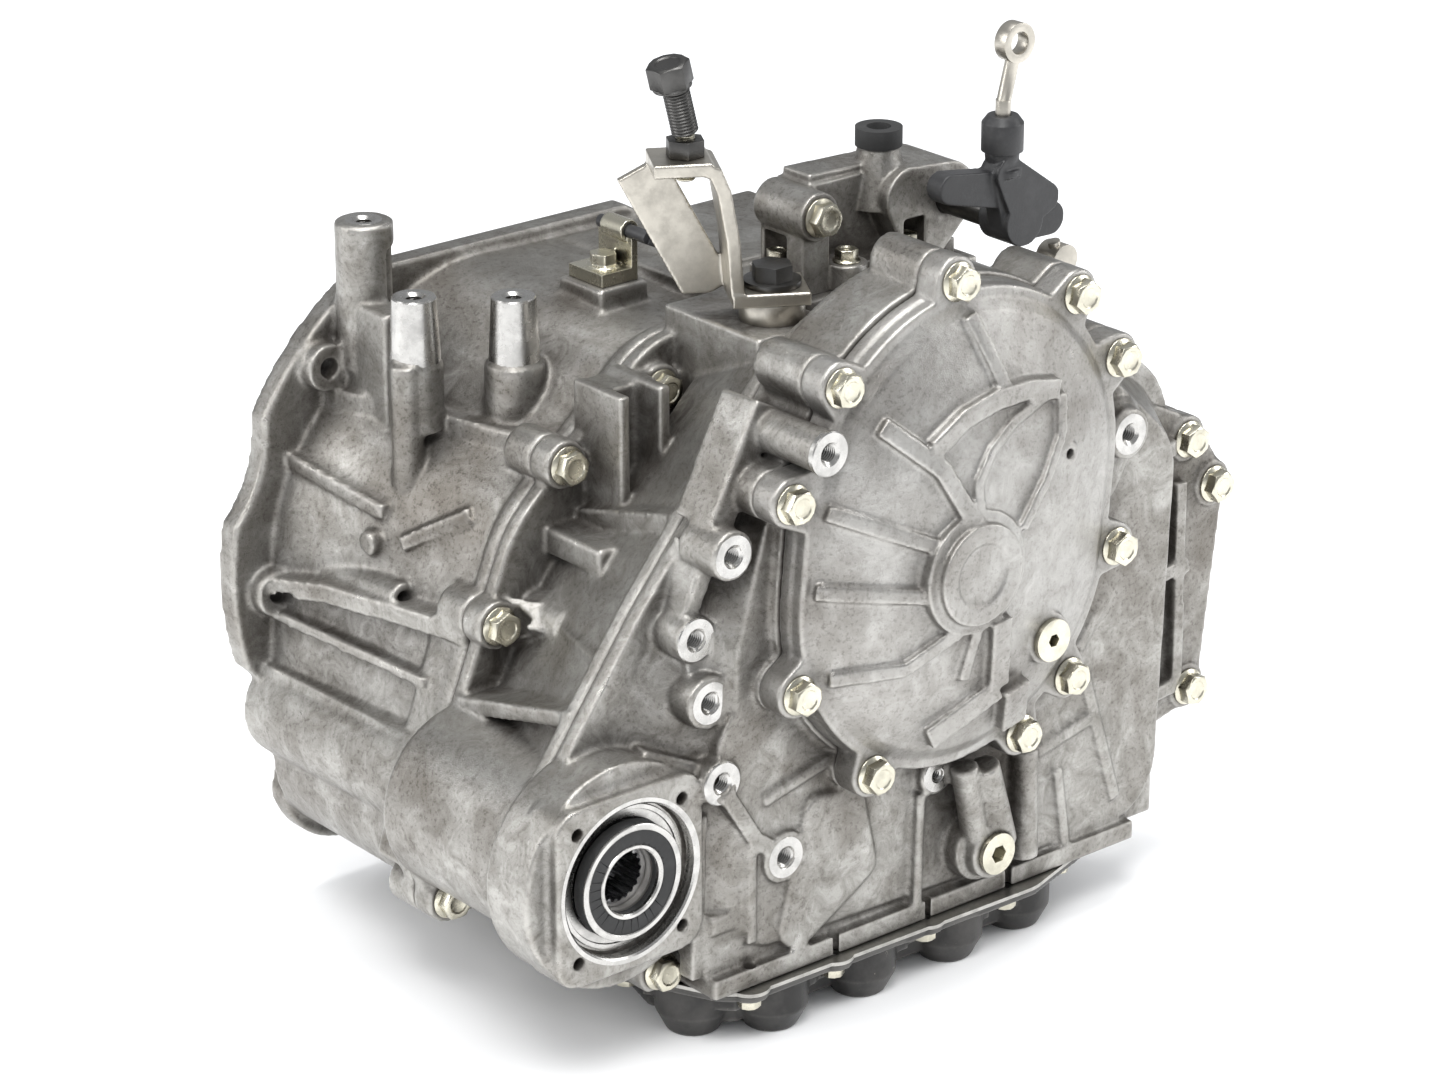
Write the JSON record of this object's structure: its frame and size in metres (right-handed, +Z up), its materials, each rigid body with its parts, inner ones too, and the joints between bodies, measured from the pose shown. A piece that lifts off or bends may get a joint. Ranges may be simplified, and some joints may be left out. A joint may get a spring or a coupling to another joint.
{
  "type": "manual transmission",
  "caption": "Transverse manual transmission with bell housing, ribbed aluminium cases, domed end cover, differential output, gear train and selector linkage.",
  "frame": {"origin": "input shaft axis in the engine mating face of the bell housing", "axes": "+Y towards the engine along the shafts, +Z up, +X right seen from the end cover"},
  "size_m": [0.5023, 0.364, 0.5009],
  "materials": {
    "cast_aluminium": "rough",
    "pan_steel": "satin",
    "gasket": "satin",
    "plated_steel": "satin",
    "bracket_steel": "satin",
    "dark_steel": "satin",
    "black_rubber": "matte",
    "black_plastic": "matte",
    "gear_steel": "satin",
    "brass_bronze": "satin",
    "cast_iron": "rough"
  },
  "bodies": {
    "root": {"bell_housing": "cast_aluminium", "intermediate_case": "cast_aluminium", "main_gear_case": "cast_aluminium", "end_cover": "cast_aluminium", "selector_housing": "cast_aluminium", "oil_pan": "pan_steel", "pan_gasket": "gasket", "cover_bolts": "plated_steel", "bell_bolts": "plated_steel", "case_bolts": "plated_steel", "pan_bolts": "plated_steel", "selector_bolts": "plated_steel", "fill_plug": "plated_steel", "drain_plug": "plated_steel", "pipe_clip": "plated_steel", "mount_bracket": "bracket_steel", "bracket_spacer": "bracket_steel", "bracket_bolt": "dark_steel", "bracket_nut": "dark_steel", "bracket_stud": "dark_steel", "breather_cap": "black_rubber", "diff_seal": "black_rubber", "input_seal": "black_rubber", "breather_pipe": "black_plastic", "idler_shaft": "gear_steel", "transfer_shaft": "gear_steel", "bearings": "gear_steel", "shift_rail": "gear_steel", "guide_sleeve": "gear_steel", "fork_pivot": "gear_steel"},
    "input": {"input_shaft": "gear_steel", "input_hubs": "gear_steel"},
    "first": {"first_gear": "gear_steel"},
    "second": {"second_gear": "gear_steel"},
    "reverse": {"reverse_gear": "gear_steel"},
    "idler": {"reverse_idler": "gear_steel"},
    "differential": {"ring_gear": "gear_steel", "diff_carrier": "cast_iron", "side_gears": "gear_steel", "spider_gears": "gear_steel", "cross_pin": "gear_steel"},
    "output": {"output_shaft": "gear_steel", "output_hub": "gear_steel"},
    "third": {"third_gear": "gear_steel"},
    "fourth": {"fourth_gear": "gear_steel"},
    "fifth": {"fifth_gear": "gear_steel"},
    "transfer": {"transfer_gear": "gear_steel"},
    "selector_12": {"sleeve_12": "brass_bronze", "shift_fork_12": "cast_iron"},
    "selector_34": {"sleeve_34": "brass_bronze", "shift_fork_34": "cast_iron"},
    "selector_5": {"sleeve_5": "brass_bronze", "shift_fork_5": "cast_iron"},
    "cross_shaft": {"selector_shaft": "dark_steel", "selector_arm": "black_plastic"},
    "upper_rod": {"eye_rod": "bracket_steel", "rod_socket": "black_plastic"},
    "lower_link": {"lower_rod": "bracket_steel"},
    "clutch_fork": {"release_fork": "cast_iron"},
    "clutch_bearing": {"release_bearing": "gear_steel"}
  },
  "joints": [
    {"name": "input_spin", "type": "hinge", "parent": "root", "child": "input", "pos_m": [0, -0.15, 0], "axis": [0, 1, 0], "continuous": true},
    {"name": "first_spin", "type": "hinge", "parent": "root", "child": "first", "pos_m": [-0.05393, -0.148, -0.02851], "axis": [0, 1, 0], "continuous": true},
    {"name": "second_spin", "type": "hinge", "parent": "root", "child": "second", "pos_m": [-0.05393, -0.178, -0.02851], "axis": [0, 1, 0], "continuous": true},
    {"name": "reverse_spin", "type": "hinge", "parent": "root", "child": "reverse", "pos_m": [-0.05393, -0.135, -0.02851], "axis": [0, 1, 0], "continuous": true},
    {"name": "idler_spin", "type": "hinge", "parent": "root", "child": "idler", "pos_m": [-0.02528, -0.135, 0.01961], "axis": [0, 1, 0], "continuous": true},
    {"name": "diff_spin", "type": "hinge", "parent": "root", "child": "differential", "pos_m": [-0.14234, -0.25, -0.07524], "axis": [0, 1, 0], "continuous": true},
    {"name": "output_spin", "type": "hinge", "parent": "root", "child": "output", "pos_m": [-0.05393, -0.2, -0.02851], "axis": [0, 1, 0], "continuous": true},
    {"name": "third_spin", "type": "hinge", "parent": "root", "child": "third", "pos_m": [0, -0.192, 0], "axis": [0, 1, 0], "continuous": true},
    {"name": "fourth_spin", "type": "hinge", "parent": "root", "child": "fourth", "pos_m": [0, -0.222, 0], "axis": [0, 1, 0], "continuous": true},
    {"name": "fifth_spin", "type": "hinge", "parent": "root", "child": "fifth", "pos_m": [0, -0.235, 0], "axis": [0, 1, 0], "continuous": true},
    {"name": "transfer_spin", "type": "hinge", "parent": "root", "child": "transfer", "pos_m": [-0.08399, -0.27, -0.04439], "axis": [0, 1, 0], "continuous": true},
    {"name": "shift_12", "type": "slide", "parent": "root", "child": "selector_12", "axis": [0, 1, 0], "range_m": [-0.0035, 0.0035]},
    {"name": "shift_34", "type": "slide", "parent": "root", "child": "selector_34", "axis": [0, 1, 0], "range_m": [-0.0035, 0.0035]},
    {"name": "shift_5", "type": "slide", "parent": "root", "child": "selector_5", "axis": [0, 1, 0], "range_m": [0, 0.0035]},
    {"name": "selector_turn", "type": "hinge", "parent": "root", "child": "cross_shaft", "pos_m": [0.15, -0.2, 0.196], "axis": [0, 1, 0], "range_deg": [-10, 10]},
    {"name": "upper_rod_swing", "type": "hinge", "parent": "cross_shaft", "child": "upper_rod", "pos_m": [0.14, -0.256, 0.233], "axis": [0, 1, 0], "range_deg": [-20, 20]},
    {"name": "lower_link_swing", "type": "hinge", "parent": "root", "child": "lower_link", "pos_m": [0.18, -0.256, 0.142], "axis": [0, 1, 0], "range_deg": [-4, 4]},
    {"name": "clutch_fork_swing", "type": "hinge", "parent": "root", "child": "clutch_fork", "pos_m": [0.046, -0.084, 0.046], "axis": [-0.7071, 0, 0.7071], "range_deg": [0, 5]},
    {"name": "release_slide", "type": "slide", "parent": "root", "child": "clutch_bearing", "axis": [0, 1, 0], "range_m": [0, 0.008]}
  ],
  "couplings": [
    {"joint": "first_spin", "follows": "input_spin", "ratio": -0.35556},
    {"joint": "second_spin", "follows": "input_spin", "ratio": -0.5641},
    {"joint": "idler_spin", "follows": "input_spin", "ratio": -0.77778},
    {"joint": "reverse_spin", "follows": "input_spin", "ratio": 0.36842},
    {"joint": "transfer_spin", "follows": "diff_spin", "ratio": -2.6667},
    {"joint": "output_spin", "follows": "diff_spin", "ratio": 3},
    {"joint": "third_spin", "follows": "diff_spin", "ratio": -3.5357},
    {"joint": "fourth_spin", "follows": "diff_spin", "ratio": -2.9032},
    {"joint": "fifth_spin", "follows": "diff_spin", "ratio": -2.2286},
    {"joint": "release_slide", "follows": "clutch_fork_swing", "m_per_rad": 0.065}
  ]
}
